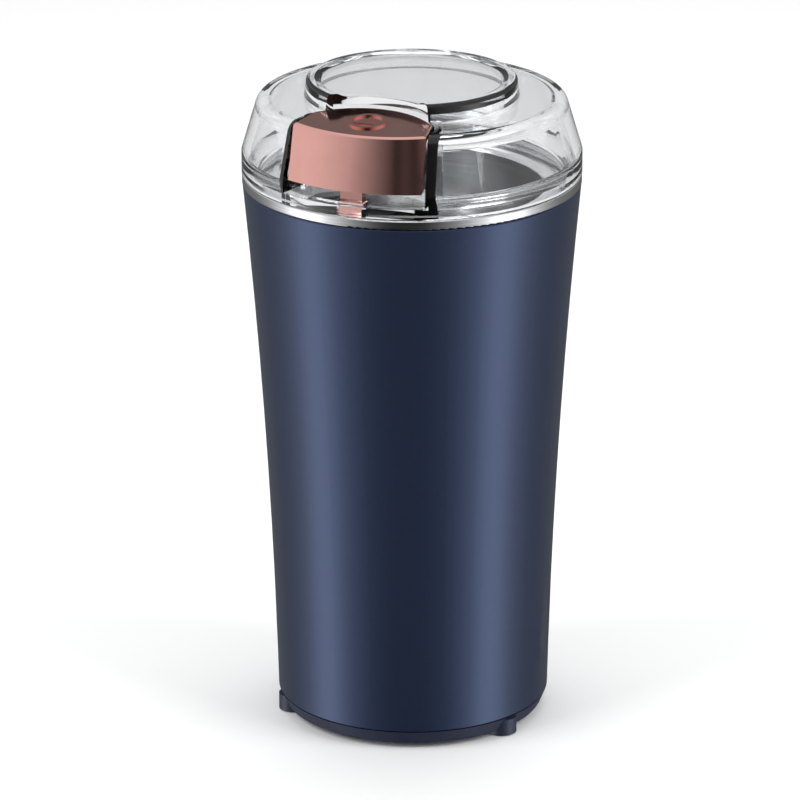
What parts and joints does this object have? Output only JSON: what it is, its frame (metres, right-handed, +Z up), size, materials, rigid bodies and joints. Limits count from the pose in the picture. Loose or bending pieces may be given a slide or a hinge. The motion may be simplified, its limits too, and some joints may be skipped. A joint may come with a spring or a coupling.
{
  "type": "electric spice grinder",
  "caption": "Tall round spice grinder with a tapered painted body, steel bowl with a two-wing blade, and a clear lift-off lid whose front button works the motor switch.",
  "frame": {"origin": "on the floor under the motor axis, at the centre of the base", "axes": "+Z up along the motor axis, -Y towards the button, +Y towards the cord inlet"},
  "size_m": [0.096, 0.096, 0.1885],
  "materials": {
    "shell_paint": "satin navy paint on moulded plastic",
    "base_plastic": "moulded navy plastic with a fine texture",
    "clear_lid": "clear moulded plastic with a faint smoke tint",
    "button_plating": "satin rose gold metallised plastic",
    "bowl_steel": "polished stainless steel, spun inside",
    "blade_steel": "ground stainless steel",
    "hub_aluminium": "turned aluminium",
    "rubber": "soft black rubber",
    "black_plastic": "black glass filled plastic",
    "zinc_steel": "zinc plated steel",
    "lamination": "stacked motor steel",
    "copper": "enamelled copper wire",
    "brass": "brass",
    "bronze": "sintered bronze",
    "carbon": "pressed carbon",
    "white_plastic": "white nylon",
    "lead_sleeve": "red wire sleeve",
    "capacitor_yellow": "dipped yellow case",
    "link_sleeve": "sleeved thermal link"
  },
  "bodies": {
    "base": {"foot_pads": "rubber", "base_cover": "base_plastic", "base_screws": "zinc_steel", "body_shell": "shell_paint", "cord_gland": "rubber", "bowl": "bowl_steel", "bowl_gasket": "rubber", "bowl_hub": "hub_aluminium", "hub_nut": "zinc_steel", "shaft_seal": "rubber", "motor_carrier": "black_plastic", "carrier_screws": "zinc_steel", "motor_grommets": "rubber", "motor_screws": "zinc_steel", "upper_bracket": "zinc_steel", "lower_bracket": "black_plastic", "upper_bearing": "bronze", "lower_bearing": "bronze", "stator_core": "lamination", "field_coils": "copper", "stator_screws": "zinc_steel", "thermal_cutout": "link_sleeve", "brush_holders": "brass", "carbon_brushes": "carbon", "brush_springs": "zinc_steel", "plunger_spring": "zinc_steel", "microswitch_case": "black_plastic", "switch_screws": "zinc_steel", "switch_terminals": "brass", "suppression_capacitor": "capacitor_yellow", "motor_leads": "lead_sleeve"},
    "lid": {"lid_shell": "clear_lid"},
    "button": {"button_cap": "button_plating"},
    "plunger": {"switch_plunger": "black_plastic"},
    "lever": {"switch_lever": "zinc_steel"},
    "rotor": {"motor_shaft": "zinc_steel", "armature_core": "lamination", "armature_windings": "copper", "commutator": "copper", "cooling_fan": "white_plastic", "blade_spacer": "zinc_steel", "blade": "blade_steel", "blade_washer": "zinc_steel", "blade_nut": "zinc_steel"}
  },
  "joints": [
    {"name": "lid_lift", "type": "slide", "parent": "base", "child": "lid", "axis": [0, 0, 1], "range_m": [0, 0.055]},
    {"name": "button_press", "type": "slide", "parent": "lid", "child": "button", "axis": [0, 0, -1], "range_m": [0, 0.0032], "stiffness_N_per_m": 400, "springref_m": -0.003},
    {"name": "plunger_press", "type": "slide", "parent": "base", "child": "plunger", "axis": [0, 0, -1], "range_m": [0, 0.0032], "stiffness_N_per_m": 300, "springref_m": -0.003, "deforming": ["plunger_spring"]},
    {"name": "lever_turn", "type": "hinge", "parent": "base", "child": "lever", "pos_m": [0, -0.01966, 0.094], "axis": [1, 0, 0], "range_deg": [0, 9.6]},
    {"name": "blade_spin", "type": "hinge", "parent": "base", "child": "rotor", "pos_m": [0, 0, 0.1185], "axis": [0, 0, 1], "continuous": true}
  ],
  "couplings": [
    {"joint": "plunger_press", "follows": "button_press", "ratio": 1},
    {"joint": "lever_turn", "follows": "button_press", "rad_per_m": 51.55}
  ]
}
